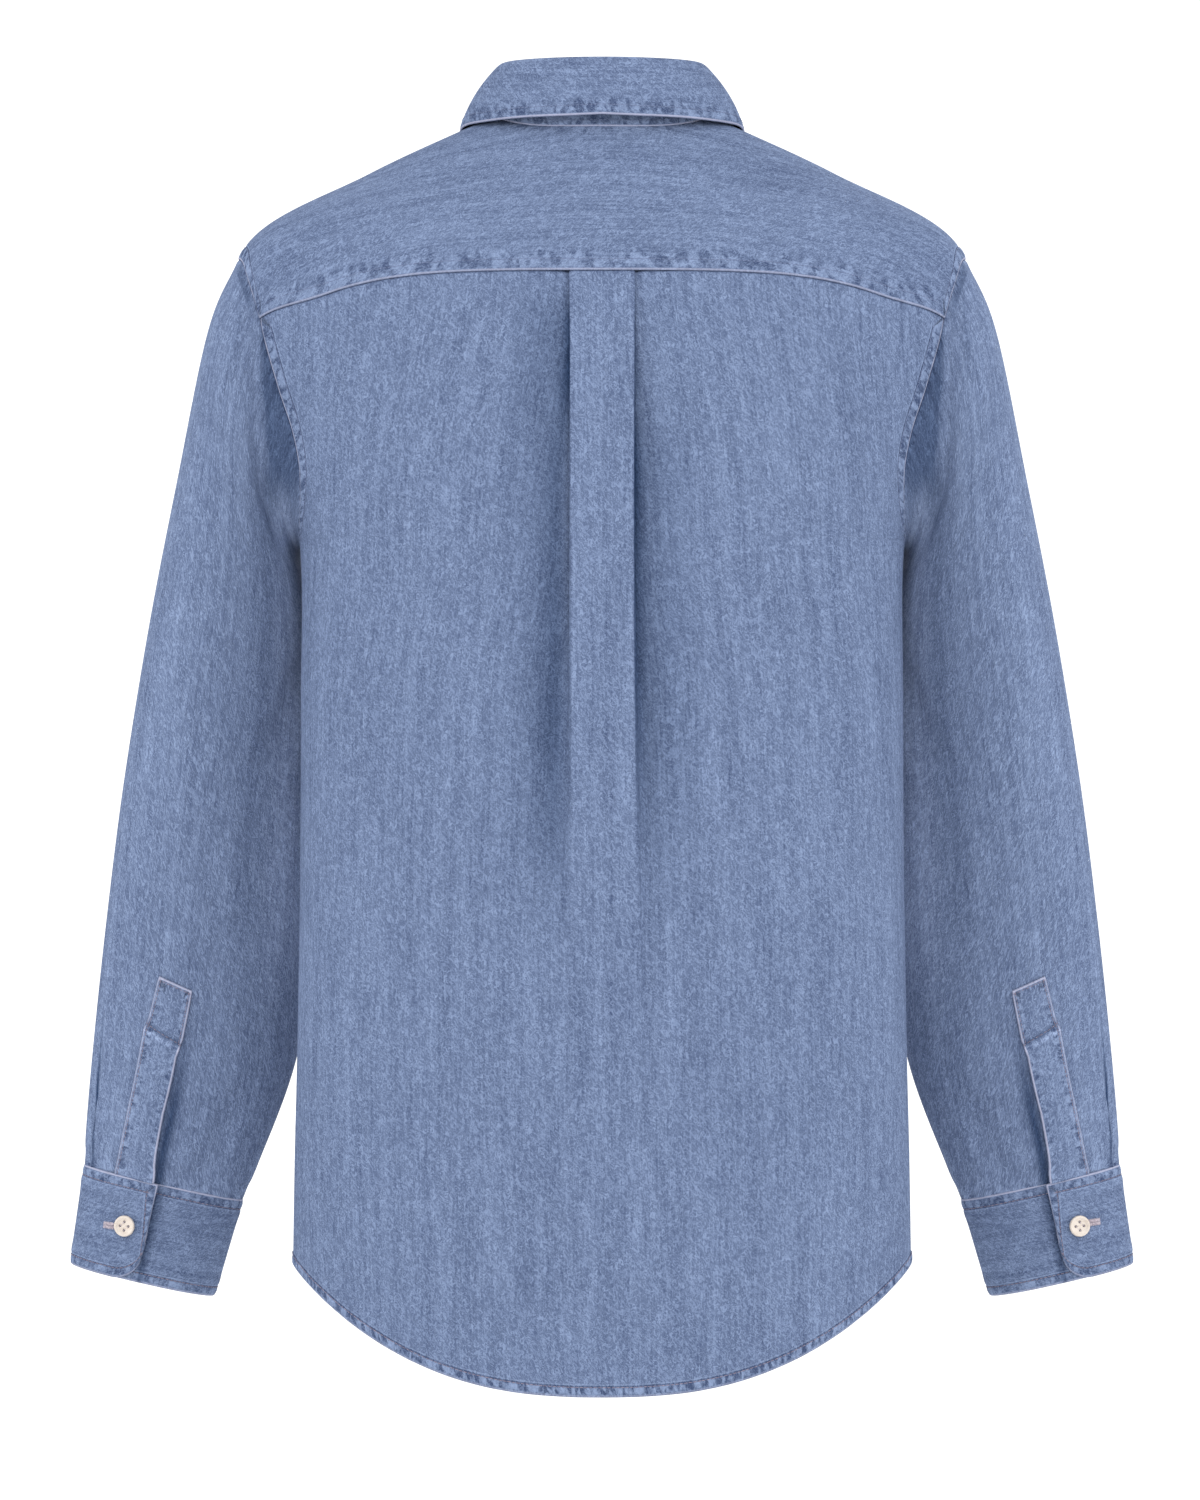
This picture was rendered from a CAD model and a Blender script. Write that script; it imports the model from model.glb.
"""The looks of a long-sleeved denim shirt, hollow and filled out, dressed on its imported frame.

Sizes in the tables are millimetres in the row frame, +Z up, the front facing -Y and the wearer's
left towards +X. Meshes are made in metres.
"""

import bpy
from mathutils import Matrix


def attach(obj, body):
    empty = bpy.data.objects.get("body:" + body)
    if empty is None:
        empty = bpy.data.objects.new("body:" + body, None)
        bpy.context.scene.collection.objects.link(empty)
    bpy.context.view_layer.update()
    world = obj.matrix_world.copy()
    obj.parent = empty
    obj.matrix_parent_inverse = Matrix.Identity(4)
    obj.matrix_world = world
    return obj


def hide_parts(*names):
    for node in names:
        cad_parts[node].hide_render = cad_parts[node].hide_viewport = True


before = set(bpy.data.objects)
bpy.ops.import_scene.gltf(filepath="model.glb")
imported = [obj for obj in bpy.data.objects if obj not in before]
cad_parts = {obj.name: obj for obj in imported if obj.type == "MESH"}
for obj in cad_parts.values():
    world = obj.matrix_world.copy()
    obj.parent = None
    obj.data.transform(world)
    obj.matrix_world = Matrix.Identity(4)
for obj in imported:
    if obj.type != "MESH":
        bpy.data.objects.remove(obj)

import copy
import logging
import math
from collections.abc import Callable
from dataclasses import dataclass, field
from enum import Enum

import bpy
import numpy as np
from mathutils import Matrix, Vector

LOG = logging.getLogger("shirt")
MM = 0.001
FAR = 999.0
PUCKER_REACH = 8.5
RIM_WEAR = 0.4
FLAT_STRETCH = (1.08, 0.8)
STITCH_LIFT = 0.12
MIRROR = np.array([-1, 1, 1])
SEAM_STEP = 777.0
RANDOM_ROWS, RANDOM_START, RANDOM_SPAN = 4096, 500, 4000
Array = np.ndarray
Socket = bpy.types.NodeSocket
Material = bpy.types.Material
Thing = bpy.types.Object


class Side(Enum):
    """The wearer's side that a piece belongs to."""

    LEFT = 1
    RIGHT = -1

    @property
    def word(self) -> str:
        """The side's name as the nodes give it."""
        return self.name.lower()


class Grain(Enum):
    """Which way the warp of the denim runs in a piece."""

    DOWN = "down the piece"
    ACROSS = "across the piece"


class Border(Enum):
    """An edge of a cloth grid."""

    TOP = "first row"
    BOTTOM = "last row"
    START = "first column"
    END = "last column"

    @property
    def level(self) -> bool:
        """Whether it runs along a row."""
        return self in (Border.TOP, Border.BOTTOM)


# Numbers and curves


def smooth(low: float, high: float, value: Array) -> Array:
    """A smooth step from 0 at low to 1 at high."""
    t = np.clip((np.asarray(value, float) - low) / (high - low), 0, 1)
    return t * t * (3 - 2 * t)


def fall(low: float, high: float, value: Array) -> Array:
    """A smooth step from 1 at low to 0 at high."""
    return 1 - smooth(low, high, value)


def mix(a: Array, b: Array, t: Array) -> Array:
    """The blend of a and b at t."""
    return a + (b - a) * t


def flow(a: Array, b: Array, c: Array, d: Array, t: Array) -> Array:
    """A smooth curve from b to c that takes its directions from a and d."""
    return b + 0.5 * t * (c - a + t * (2 * a - 5 * b + 4 * c - d + t * (3 * (b - c) + d - a)))


def spline(table: Array, at: Array) -> Array:
    """A smooth curve through equally spaced rows.

    Args:
        table: the rows, as numbers or as vectors.
        at: places along the rows, in steps of one row.

    Returns:
        The value at each place, with the shape of at and of a row.
    """
    table, at = np.asarray(table, float), np.asarray(at, float)
    k = np.clip(np.floor(at).astype(int), 0, len(table) - 2)
    shape = at.shape + (1,) * (table.ndim - 1)
    t, first, last = (value.reshape(shape) for value in (at - k, k == 0, k + 2 >= len(table)))
    b, c = table[k], table[k + 1]
    a = np.where(first, 2 * b - c, table[np.maximum(k - 1, 0)])
    d = np.where(last, 2 * c - b, table[np.minimum(k + 2, len(table) - 1)])
    return flow(a, b, c, d, t)


def read(table: tuple, place: Array) -> Array:
    """Reads a table of [place, value] rows with smooth steps between them."""
    rows = np.asarray(table, float)
    place = np.asarray(place, float)
    value = np.full(place.shape, rows[0, 1])
    for (start, a), (end, b) in zip(rows[:-1], rows[1:]):
        value = np.where(place > start, mix(a, b, smooth(start, end, place)), value)
    return value


def eased(table: tuple, place: Array) -> Array:
    """Reads a table of [place, value] rows as one flowing line, with no rest at its rows."""
    rows = np.asarray(table, float)
    fine = np.linspace(rows[0, 0], rows[-1, 0], 241)
    line = np.pad(np.interp(fine, rows[:, 0], rows[:, 1]), 30, "reflect", reflect_type="odd")
    weights = np.hanning(61)
    return np.interp(place, fine, np.convolve(line, weights / weights.sum(), "valid"))


def unit(vectors: Array) -> Array:
    """The vectors at length one."""
    return vectors / np.maximum(np.linalg.norm(vectors, axis=-1, keepdims=True), 1e-9)


def wander(run: Array, step: float, seed: int) -> Array:
    """A smooth random line from -1 to 1 that changes about every step along run."""
    table = np.random.default_rng(seed).uniform(-1, 1, RANDOM_ROWS)
    return spline(table, np.mod(np.asarray(run, float) / step + RANDOM_START, RANDOM_SPAN))


def outward_of(form: Callable, place: Array, level: Array) -> Array:
    """The direction out of a form at a place and a level."""
    place, level = np.asarray(place, float), np.asarray(level, float)
    along = form(place + 0.5, level) - form(place - 0.5, level)
    down = form(place, level + 0.02) - form(place, level - 0.02)
    return unit(np.cross(down, along))


def graded(start: float, end: float, count: int, power: float) -> Array:
    """Numbers from start to end that lie closer together near start."""
    return start + (end - start) * np.linspace(0, 1, count) ** power


# The shirt's form, the same as its solids have


@dataclass
class BodyForm:
    """The body's sections from the neckline to the hem, as superellipse rings.

    Each row is sideX, sideY, sideZ, backY, backZ, frontY, frontZ, backRound, frontRound, level.
    """

    rows: tuple = (
        [64, 0, 0, 46, -9, -56, -52, 2, 2, 4],
        [137, -2, -33.8, 68, -40, -84, -88, 2, 2, 4],
        [209, -4, -75.6, 86, -69, -97, -120, 2.1, 2, 4],
        [216, 0, -143, 100, -97, -104, -155, 2.2, 2.1, 4],
        [193, 4, -200, 116, -165, -108, -200, 2.3, 2.1, 4],
        [177, 8, -250, 122, -250, -108, -250, 2.3, 2.1, 4],
        [176, 10, -350, 124, -350, -107, -350, 2.3, 2.1, 3],
        [176.5, 10, -450, 123, -450, -106, -450, 2.3, 2.1, 3],
        [178, 11, -545, 121, -555, -105, -550, 2.3, 2.1, 2.5],
        [179.5, 12, -610, 118, -650, -104, -634, 2.3, 2.1, 2.2],
        [180.5, 12, -671, 115, -740, -103, -712, 2.3, 2.1, 2.2],
    )
    yoke_seam: float = 3
    underarm: float = 5
    hem: float = 10
    armhole_middle: float = 3.5
    armhole_reach: float = 1.5
    armhole_turn: float = 30
    armhole_skew: float = 0.22
    tip_lowered: float = 0.13
    corner_raised: float = 0.13
    back_eased: float = 0.165
    shoulder_seam: float = -23
    shoulder_seam_at_neck: float = -26

    @property
    def yoke_corner(self) -> float:
        """The place on the armhole loop where the yoke seam meets it."""
        level = self.yoke_seam - self.corner_raised
        return math.degrees(math.acos((self.armhole_middle - level) / self.armhole_reach))

    def yoke_level(self, angle: Array) -> Array:
        """The level of the yoke seam, a little higher beside the armholes."""
        turned = np.minimum(angle, 180 - angle)
        return self.yoke_seam - self.corner_raised * fall(25, 45, turned)

    def ring(self, row: Array, angle: Array) -> Array:
        """The point of a section at an angle, 0 at the wearer's left and 90 at the back."""
        c, s = np.cos(np.radians(angle)), np.sin(np.radians(angle))
        behind = s >= 0
        power = 2 / np.where(behind, row[..., 7], row[..., 8])
        depth = np.where(behind, row[..., 3], row[..., 5]) - row[..., 1]
        drop = np.where(behind, row[..., 4], row[..., 6]) - row[..., 2]
        return np.stack([
            row[..., 0] * np.sign(c) * np.abs(c) ** power,
            row[..., 1] + depth * np.abs(s) ** power,
            row[..., 2] + drop * (1 - np.abs(c) ** row[..., 9]),
        ], -1)

    def point(self, angle: Array, level: Array) -> Array:
        """The form's point at an angle and a level between the sections."""
        angle, level = np.broadcast_arrays(np.asarray(angle, float), np.asarray(level, float))
        return self.ring(spline(self.rows, level), angle)

    def outward(self, angle: Array, level: Array) -> Array:
        """The form's outward direction."""
        return outward_of(self.point, angle, level)

    def angle_at(self, x: Array, level: Array, behind: bool) -> Array:
        """The angle at which a section crosses x, at the back or at the front."""
        x, level = np.broadcast_arrays(np.asarray(x, float), np.asarray(level, float))
        row = spline(self.rows, level)
        power = row[..., 7 if behind else 8] / 2
        turn = np.degrees(np.arccos(np.sign(x) * (np.abs(x) / row[..., 0]) ** power))
        return turn if behind else -turn

    def armhole_level(self, phi: Array) -> Array:
        """The level of the armhole loop at its place phi: 0 shoulder, 90 back, 180 underarm."""
        turned = np.abs(np.mod(np.asarray(phi, float) + 180, 360) - 180)
        lowered = self.tip_lowered * fall(0, 55, turned)
        return self.armhole_middle - self.armhole_reach * np.cos(np.radians(phi)) + lowered

    def armhole_angle(self, phi: Array) -> Array:
        """The body's angle of the armhole loop at its place phi."""
        c, s = np.cos(np.radians(phi)), np.sin(np.radians(phi))
        turned = np.mod(np.asarray(phi, float), 360)
        eased = 1 - self.back_eased * smooth(0, 45, turned) * fall(92, 128, turned)
        return self.armhole_turn * s * (1 + self.armhole_skew * c) * eased


@dataclass
class SleeveForm:
    """The left sleeve's sections from the armhole to the end of the cuff.

    Each row is outerX, outerY, outerZ, innerX, innerY, innerZ, depth.
    """

    body: BodyForm
    rows: tuple = (
        [230, 14, -126, 179, -30, -259, 60],
        [249.5, -2, -214, 171, -50, -290, 60],
        [268, -26, -300, 167, -66, -332, 59],
        [285, -48, -395, 167, -76, -402, 53],
        [297, -66, -480, 172, -82, -486, 44],
        [306, -80, -556, 185, -84, -560, 36],
        [310.5, -87, -603, 208, -87, -622, 28],
        [311.5, -90, -622, 217, -89, -643, 25],
        [320, -94, -681, 234.5, -94, -700.5, 27],
    )
    folds: tuple = (
        [72, 0.1, 128, 1.7, 20, -3.2],
        [46, 0.2, 62, 1.6, 14, 1.6],
        [296, 0.2, 238, 1.7, 20, -3.2],
        [152, 2.6, 116, 3.9, 17, -2.6],
        [206, 3.1, 240, 4.4, 18, -3],
        [128, 5.9, 112, 7.9, 15, -2.2],
        [250, 5.5, 264, 7.9, 16, -2.6],
        [304, 5.8, 294, 7.9, 15, 1.8],
    )
    cuff_seam: float = 8
    cuff_end: float = 9

    def section(self, k: Array, phi: Array) -> Array:
        """The point on section k at a place phi round the sleeve, 0 outside and 90 behind."""
        rows = np.asarray(self.rows, float)
        row = rows[np.clip(k - 1, 0, len(rows) - 1)]
        c, s = np.cos(np.radians(phi)), np.sin(np.radians(phi))
        tube = mix(row[..., 3:6], row[..., 0:3], ((1 + c) / 2)[..., None])
        tube[..., 1] += row[..., 6] * s
        loop = self.body.point(self.body.armhole_angle(phi), self.body.armhole_level(phi))
        return np.where((k == 0)[..., None], loop, tube)

    def plain(self, phi: Array, level: Array) -> Array:
        """The form without its folds."""
        phi, level = np.broadcast_arrays(np.asarray(phi, float), np.asarray(level, float))
        last = len(self.rows)
        k = np.clip(np.floor(level).astype(int), 0, last - 1)
        t = (level - k)[..., None]
        b, c = self.section(k, phi), self.section(k + 1, phi)
        a = np.where((k > 0)[..., None], self.section(np.maximum(k - 1, 0), phi), 2 * b - c)
        d = np.where((k + 2 <= last)[..., None], self.section(np.minimum(k + 2, last), phi), 2 * c - b)
        return flow(a, b, c, d, t)

    def outward(self, phi: Array, level: Array) -> Array:
        """The form's outward direction."""
        return outward_of(self.plain, phi, np.maximum(level, 0.05))

    def point(self, phi: Array, level: Array, height: Array = 0) -> Array:
        """The form with its folds, moved out by height."""
        rise = fold_rise(self.folds, np.mod(phi, 360), level) + height
        return self.plain(phi, level) + self.outward(phi, level) * rise[..., None]


def fold_rise(folds: tuple, place: Array, level: Array) -> Array:
    """How far a list of folds raises the cloth.

    Args:
        folds: rows of fromPlace, fromLevel, toPlace, toLevel, reach, rise.
        place: where across the cloth.
        level: how far down the cloth.

    Returns:
        The sum of the folds' rises, in millimetres.
    """
    place, level = np.broadcast_arrays(np.asarray(place, float), np.asarray(level, float))
    total = np.zeros(place.shape)
    for from_place, from_level, to_place, to_level, reach, rise in folds:
        t = (level - from_level) / (to_level - from_level)
        off = np.clip((place - mix(from_place, to_place, t)) / reach, -1, 1)
        bell = (1 - off * off) ** 2 * smooth(0, 0.3, t) * fall(0.65, 1, t)
        total += np.where((t > 0) & (t < 1), rise * bell, 0)
    return total


BODY = BodyForm()
SLEEVE = SleeveForm(BODY)


# Cloth grids


def along_rows(points: Array) -> Array:
    """Lengths along each row of a grid, from its first column."""
    step = np.linalg.norm(np.diff(points, axis=1), axis=-1)
    return np.concatenate([np.zeros((len(points), 1)), np.cumsum(step, axis=1)], axis=1)


def along_columns(points: Array) -> Array:
    """Lengths along each column of a grid, from its first row."""
    return along_rows(points.transpose(1, 0, 2)).T


def grid_outward(points: Array, loop: bool) -> Array:
    """The direction out of a grid whose rows run down and whose columns run to the right."""
    down, across = np.gradient(points, axis=0), np.gradient(points, axis=1)
    if loop:
        across[:, 0] = across[:, -1] = (points[:, 1] - points[:, -2]) / 2
    return unit(np.cross(down, across))


@dataclass
class Seam:
    """A seam or finished edge along one border of a grid.

    Attributes:
        border: the border it lies on.
        pull: how strongly it puckers the cloth, from 0 to 1.
        edge: the worn light line along it, or with a negative sign a dark recess.
        first: the row or column where it starts along the border.
        last: the row or column where it ends, or None for the border's end.
        reach: how far the puckers run into the cloth, in millimetres.
        band: 1 where a topstitched band ends them in a line, 0 where they fade.
    """

    border: Border
    pull: float = 1.0
    edge: float = 0.0
    first: int = 0
    last: int | None = None
    reach: float = PUCKER_REACH
    band: float = 0.0


@dataclass
class ClothGrid:
    """A piece of cloth as a grid of points with a wall round it, closed into one shell."""

    points: Array
    half: Array | float = 0.5
    loop: bool = False
    grain: Grain = Grain.DOWN
    seams: list = field(default_factory=list)
    pucker_height: float = 0.34
    seed: int = 1
    tone: Array | float = 0.0
    facing: int = 1
    centre: float = 0.5
    planar: bool = False
    lining: float = 1.0

    def __post_init__(self) -> None:
        """Measures the cloth, puckers it along its seams and settles its directions."""
        shape = self.points.shape[:2]
        self.across, self.down = along_rows(self.points), along_columns(self.points)
        self.gap, self.reach = np.full(shape, FAR), np.full(shape, PUCKER_REACH)
        self.run, self.pull, self.edge, self.band = (np.zeros(shape) for _ in range(4))
        for count, seam in enumerate(self.seams):
            gap, run = self.measure(seam)
            near = gap < self.gap
            self.run = np.where(near, run + SEAM_STEP * count, self.run)
            for key in ("pull", "edge", "reach", "band"):
                setattr(self, key, np.where(near, getattr(seam, key), getattr(self, key)))
            self.gap = np.minimum(gap, self.gap)
        self.outward = self.facing * grid_outward(self.points, self.loop)
        self.points = self.points + self.outward * self.puckers()[..., None]
        self.half = np.broadcast_to(self.half, shape).astype(float)
        self.tone = np.broadcast_to(self.tone, shape).astype(float)

    def measure(self, seam: Seam) -> tuple[Array, Array]:
        """How far each point lies from a seam, and how far along the seam."""
        level = seam.border.level
        gap, run = (self.down, self.across) if level else (self.across.T, self.down.T)
        if seam.border in (Border.BOTTOM, Border.END):
            gap, run = gap[-1:] - gap, run[-1:]
        run = run[:1] + 0 * gap
        count = np.arange(gap.shape[1])
        within = (count >= seam.first) & (count <= (len(count) if seam.last is None else seam.last))
        gap = np.where(within[None], gap, FAR)
        return (gap, run) if level else (gap.T, run.T)

    def puckers(self) -> Array:
        """Heights of the small ridges that the stitching draws into the cloth."""
        lean = 0.35 * wander(self.run, 19, self.seed + 5) * self.gap
        spread = np.round(0.6 + 0.34 * self.reach, 1)
        ridge = wander((self.run + lean) / spread, 1, self.seed) + 0.5 * wander(self.run, 7.5, self.seed + 1)
        reach = self.reach * (1 + 0.4 * (1 - self.band) * wander(self.run, 5.5, self.seed + 2))
        within = smooth(0.2, 1.6, self.gap) * fall(mix(0.45, 0.85, self.band), 1, self.gap / reach)
        groove = self.band * np.exp(-((self.gap - self.reach) / 0.9) ** 2)
        return self.pucker_height * self.pull * (ridge * within - 0.9 * groove)

    def mirrored(self) -> "ClothGrid":
        """The same cloth on the wearer's other side."""
        twin = copy.copy(self)
        twin.points, twin.outward = self.points * MIRROR, self.outward * MIRROR
        return twin

    def surface(self, lift: float = 0.0) -> Array:
        """The outer surface's points, raised by lift."""
        return self.points + self.outward * (self.half + lift)[..., None]

    def line(self, seam: Seam, inset: float, lift: float = STITCH_LIFT, skip: float = 0.0) -> Array:
        """A line on the outer surface, inset from a border.

        Args:
            seam: the border and the stretch of it to follow.
            inset: the distance from the border.
            lift: the height over the surface.
            skip: the length left out at both ends.

        Returns:
            The points of the line.
        """
        gap, places = self.measure(Seam(seam.border))[0], self.surface(lift)
        if seam.border.level:
            gap, places = gap.T, places.transpose(1, 0, 2)
        stretch = slice(seam.first, len(gap) if seam.last is None else seam.last + 1)
        found = []
        for nearness, points in zip(gap[stretch], places[stretch]):
            order = np.argsort(nearness, kind="stable")
            found.append([np.interp(inset, nearness[order], axis) for axis in points[order].T])
        line = np.array(found)
        if skip > 0:
            far = np.concatenate([[0], np.cumsum(np.linalg.norm(np.diff(line, axis=0), axis=1))])
            line = line[(far >= skip) & (far <= far[-1] - skip)]
        return line

    def build(self, name: str, material: Material) -> Thing:
        """Closes the grid into a shell and makes its object.

        Args:
            name: the object's name.
            material: its finish.

        Returns:
            The object, with its UV map and the attributes that the denim reads.
        """
        rows, width = self.points.shape[:2]
        columns = width - self.loop
        count = rows * columns
        index = np.arange(rows)[:, None] * columns + (np.arange(width) % columns)[None, :]
        cells = np.stack(np.meshgrid(np.arange(rows), np.arange(width), indexing="ij"), -1)
        if self.loop:
            borders = [cells[0], cells[-1, ::-1]]
        else:
            sides = [cells[0, :-1], cells[:-1, -1], cells[-1, :0:-1], cells[:0:-1, 0], cells[:1, 0]]
            borders = [np.concatenate(sides)]
        middle = int(self.centre * (width - 1))
        uv = np.stack([self.across - self.across[:, middle][:, None], self.down], -1) * MM
        if self.planar:
            x, y, z = (self.points[..., axis] for axis in range(3))
            uv = np.stack([FLAT_STRETCH[0] * x, FLAT_STRETCH[1] * (y - z)], -1) * MM
        if self.grain is Grain.ACROSS:
            uv = uv[..., ::-1]
        i, j = (cells[:-1, :-1, axis].ravel() for axis in (0, 1))
        corners = [(i, j), (i, j + 1), (i + 1, j + 1), (i + 1, j)]
        faces, maps = [], []
        for order, first in (((0, 1, 2, 3), 0), ((0, 3, 2, 1), count)):
            faces.append(np.stack([index[corners[k]] for k in order], 1) + first)
            maps.append(np.stack([uv[corners[k]] for k in order], 1))
        rims, start = [], 2 * count
        for border in borders:
            a, b = tuple(border[:-1].T), tuple(border[1:].T)
            if self.loop:
                within = np.where(a[0] == 0, 1, rows - 2), a[1]
            else:
                within = np.clip(a[0], 1, rows - 2), np.clip(a[1], 1, width - 2)
            away = unit(self.points[a] - self.points[within])
            rims.append(self.points[a] + away * self.half[a][:, None])
            turn = np.arange(len(away))
            mid_a, mid_b = start + turn, start + (turn + 1) % len(away)
            start += len(away)
            faces.append(np.stack([index[b], index[a], mid_a, mid_b], 1))
            faces.append(np.stack([mid_b, mid_a, index[a] + count, index[b] + count], 1))
            maps += [np.stack([uv[b], uv[a], uv[a], uv[b]], 1)] * 2
        keep = (slice(None), slice(0, columns))
        reach = self.half[..., None] * self.outward
        walls = [(self.points + side * reach)[keep].reshape(-1, 3) for side in (1, -1)]
        verts, quads, uvs = np.concatenate([*walls, *rims]), np.concatenate(faces), np.concatenate(maps)
        a, b, c, d = (verts[quads[:, k]] for k in range(4))
        if (a * (np.cross(b, c) + np.cross(c, d))).sum() < 0:
            quads, uvs = quads[:, ::-1], uvs[:, ::-1]
        still = np.zeros_like(self.tone)
        grids = {
            "seam": (self.run, self.gap, self.pull),
            "finish": (self.edge, self.tone, still),
            "sewn": (self.reach, self.band, still),
        }
        rim = tuple(np.concatenate([border[:-1] for border in borders]).T)
        values = {}
        for key, parts in grids.items():
            grid = np.stack(parts, -1)
            face = grid[keep].reshape(-1, 3)
            inside, turned = face.copy(), grid[rim]
            if key == "finish":
                inside[:, 2] = self.lining
                turned[:, 0] *= RIM_WEAR
            elif key == "seam":
                inside[:, 2] = 0
            values[key] = np.concatenate([face, inside, turned])
        return mesh_object(name, verts * MM, quads, material, uvs, values)


def linked(name: str, data: bpy.types.ID) -> Thing:
    """A new object of some data, linked to the scene."""
    obj = bpy.data.objects.new(name, data)
    bpy.context.scene.collection.objects.link(obj)
    return obj


def mesh_object(
    name: str,
    verts: Array,
    quads: Array,
    material: Material,
    uvs: Array | None = None,
    values: dict | None = None,
) -> Thing:
    """Makes a smooth mesh object of quads.

    Args:
        name: the object's name.
        verts: the corners' places, in metres.
        quads: four corners for each face.
        material: the finish.
        uvs: a place on the cloth for each corner of each face.
        values: vectors for each corner, by attribute name.

    Returns:
        The new object, linked to the scene.
    """
    mesh = bpy.data.meshes.new(name)
    mesh.vertices.add(len(verts))
    mesh.vertices.foreach_set("co", np.ascontiguousarray(verts, np.float32).ravel())
    mesh.loops.add(quads.size)
    mesh.loops.foreach_set("vertex_index", np.ascontiguousarray(quads, np.int32).ravel())
    mesh.polygons.add(len(quads))
    mesh.polygons.foreach_set("loop_start", np.arange(0, quads.size, 4, dtype=np.int32))
    mesh.update(calc_edges=True)
    mesh.polygons.foreach_set("use_smooth", np.ones(len(quads), bool))
    if uvs is not None:
        layer = mesh.uv_layers.new(name="cloth")
        layer.data.foreach_set("uv", np.ascontiguousarray(uvs, np.float32).ravel())
    for key, value in (values or {}).items():
        attribute = mesh.attributes.new(key, "FLOAT_VECTOR", "POINT")
        attribute.data.foreach_set("vector", np.ascontiguousarray(value, np.float32).ravel())
    mesh.materials.append(material)
    mesh.validate()
    return linked(name, mesh)


# Finishes


class Signal:
    """A node's output that plain arithmetic turns into Math nodes."""

    def __init__(self, nodes: "Nodes", socket: Socket) -> None:
        """Keeps the output with the nodes that it belongs to."""
        self.nodes, self.socket = nodes, socket

    def __add__(self, other: object) -> "Signal":
        """The sum."""
        return self.nodes.math("ADD", self, other)

    def __sub__(self, other: object) -> "Signal":
        """The difference."""
        return self.nodes.math("SUBTRACT", self, other)

    def __rsub__(self, other: object) -> "Signal":
        """The difference from a number."""
        return self.nodes.math("SUBTRACT", other, self)

    def __mul__(self, other: object) -> "Signal":
        """The product."""
        return self.nodes.math("MULTIPLY", self, other)

    def __truediv__(self, other: object) -> "Signal":
        """The quotient."""
        return self.nodes.math("DIVIDE", self, other)


class Nodes:
    """A short hand for building a material's nodes."""

    def __init__(self, name: str) -> None:
        """Starts a material with its shader and output."""
        self.material = bpy.data.materials.new(name)
        self.material.use_nodes = True
        self.tree = self.material.node_tree
        self.shader = self.tree.nodes["Principled BSDF"]

    def put(self, node: bpy.types.Node, inputs: dict) -> None:
        """Links or sets a node's inputs."""
        for key, value in inputs.items():
            if isinstance(value, Signal):
                self.tree.links.new(value.socket, node.inputs[key])
            else:
                node.inputs[key].default_value = value

    def make(self, kind: str, inputs: dict, output: int | str = 0, **settings: object) -> Signal:
        """Adds a node and gives one of its outputs.

        Args:
            kind: the node's type, without the words that all types start with.
            inputs: numbers, colours or signals, by input.
            output: which output is wanted.
            settings: the node's own settings.

        Returns:
            The output as a signal.
        """
        node = self.tree.nodes.new("ShaderNode" + kind)
        for key, value in settings.items():
            setattr(node, key, value)
        self.put(node, inputs)
        return Signal(self, node.outputs[output])

    def math(self, operation: str, *inputs: object) -> Signal:
        """A Math node's result."""
        return self.make("Math", dict(enumerate(inputs)), operation=operation)

    def ramp(self, value: Signal, low: object, high: float, a: float = 0.0, b: float = 1.0) -> Signal:
        """A smooth step of value from a at low to b at high."""
        names = ("Value", "From Min", "From Max", "To Min", "To Max")
        inputs = dict(zip(names, (value, low, high, a, b)))
        return self.make("MapRange", inputs, "Result", interpolation_type="SMOOTHSTEP")

    def near(self, value: Signal, width: float) -> Signal:
        """1 where the value is 0, falling to 0 at the width."""
        return self.ramp(self.math("ABSOLUTE", value), 0.0, width, 1.0, 0.0)

    def scaled(self, vector: Signal, scale: tuple) -> Signal:
        """A vector, scaled on each axis."""
        return self.make("VectorMath", {0: vector, 1: scale}, operation="MULTIPLY")

    def turned(self, vector: Signal, degrees: float) -> Signal:
        """A vector, turned about Z."""
        inputs = {"Vector": vector, "Angle": math.radians(degrees)}
        return self.make("VectorRotate", inputs, rotation_type="Z_AXIS")

    def split(self, name: str) -> list:
        """The three parts of one of the cloth's own attributes."""
        vector = self.make("Attribute", {}, "Vector", attribute_name=name)
        parts = self.make("SeparateXYZ", {0: vector}).socket.node.outputs
        return [Signal(self, socket) for socket in parts]

    def noise(self, vector: Signal, scale: tuple, detail: float = 1.0, rough: float = 0.5,
              distortion: float = 0.0) -> Signal:
        """A flat noise's value, about 0.5 in the middle, with a scale for each axis."""
        inputs = {"Vector": self.scaled(vector, (*scale, 1.0)), "Scale": 1.0, "Detail": detail,
                  "Roughness": rough, "Distortion": distortion}
        return self.make("TexNoise", inputs, "Fac", noise_dimensions="2D")

    def shaded(self, colour: Signal, tone: Signal) -> Signal:
        """Darkens or lightens a colour by a share, and turns it bluer as it darkens."""
        shares = {k: tone * amount + 1.0 for k, amount in enumerate((1.1, 1.0, 0.86))}
        return self.make("VectorMath", {0: colour, 1: self.make("CombineXYZ", shares)}, operation="MULTIPLY")

    def colour(self, value: Signal, low: object, high: object) -> Signal:
        """A blend from the colour low to the colour high."""
        a, b = (end if isinstance(end, Signal) else (*end, 1.0) for end in (low, high))
        return self.make("Mix", {"Factor": value, 6: a, 7: b}, 2, data_type="RGBA", clamp_factor=True)

    def finished(self, colour: Signal, roughness: float, specular: float = 0.5) -> Material:
        """The material, with its shader's colour, roughness and shine set."""
        self.put(self.shader, {"Base Color": colour, "Roughness": roughness, "Specular IOR Level": specular})
        return self.material

    def bump(self, height: Signal, strength: float, relief: float) -> None:
        """Gives the surface a fine relief."""
        inputs = {"Strength": strength, "Distance": relief, "Height": height}
        self.put(self.shader, {"Normal": self.make("Bump", inputs, "Normal")})


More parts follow.
